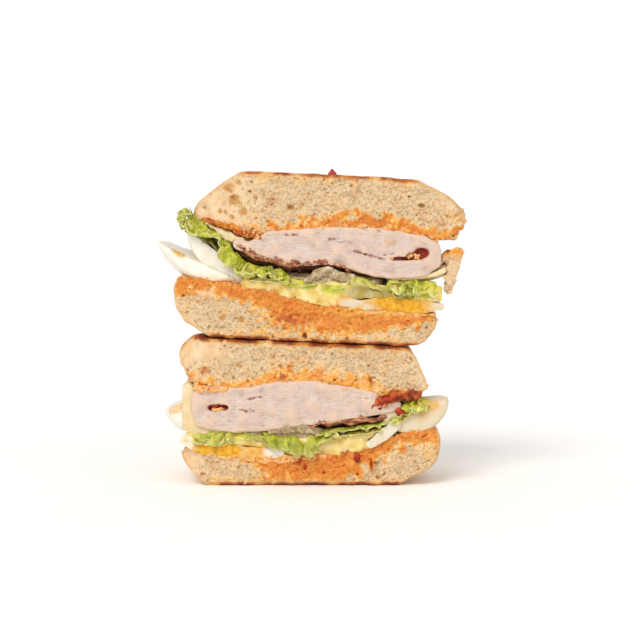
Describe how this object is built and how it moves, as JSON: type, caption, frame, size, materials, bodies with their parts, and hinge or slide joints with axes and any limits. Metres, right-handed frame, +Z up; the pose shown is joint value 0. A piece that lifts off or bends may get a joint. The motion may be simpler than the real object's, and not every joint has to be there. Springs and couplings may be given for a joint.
{
  "type": "panini",
  "caption": "Ciabatta panini cut in halves, stacked with the cut faces forward and pinned by a pick, filled with turkey, egg, lettuce, bacon, cheese and pickle.",
  "frame": {"origin": "middle of the base's bounding box, on the surface that the panini stands on", "axes": "+Z up, the cut faces look along -Y, and +Y points from the cut faces to the rounded ends of the roll"},
  "size_m": [0.146, 0.0644, 0.15],
  "materials": {
    "bread": "baked ciabatta, open crumb at the cuts and a thin golden crust",
    "turkey": "moist cooked turkey slices, folded",
    "egg": "boiled egg white with yellow yolk, smooth and moist",
    "cheese": "thin pale cheese slice, smooth",
    "bacon": "fried bacon with pale fat streaks",
    "lettuce": "ruffled lettuce leaf, pale at its ribs",
    "pickle": "translucent grey-green pickle slice with seeds",
    "tomato": "oily strip of dried tomato",
    "sauce": "orange sauce, soaked into the crumb in places",
    "pick": "slim wooden pick with a small red head"
  },
  "bodies": {
    "root": {"upper_bread_bottom": "bread", "upper_bread_top": "bread", "upper_turkey_wrap": "turkey", "upper_turkey_pile_high": "turkey", "upper_turkey_pile_low": "turkey", "upper_egg_flat": "egg", "upper_egg_end": "egg", "upper_egg_back": "egg", "upper_cheese_fold_end": "cheese", "upper_cheese_egg_end": "cheese", "upper_tomato_strip": "tomato", "upper_bacon": "bacon", "upper_pickle_high": "pickle", "upper_pickle_low": "pickle", "upper_lettuce_high": "lettuce", "upper_lettuce_low": "lettuce", "upper_torn_crust": "bread", "lower_bread_bottom": "bread", "lower_bread_top": "bread", "lower_turkey_wrap": "turkey", "lower_turkey_pile_high": "turkey", "lower_turkey_pile_low": "turkey", "lower_egg_flat": "egg", "lower_egg_end": "egg", "lower_egg_strip": "egg", "lower_egg_side": "egg", "lower_cheese_fold_end": "cheese", "lower_tomato_strip": "tomato", "lower_bacon": "bacon", "lower_pickle_high": "pickle", "lower_pickle_low": "pickle", "lower_lettuce_high": "lettuce", "lower_lettuce_low": "lettuce", "pick": "pick"}
  },
  "joints": []
}
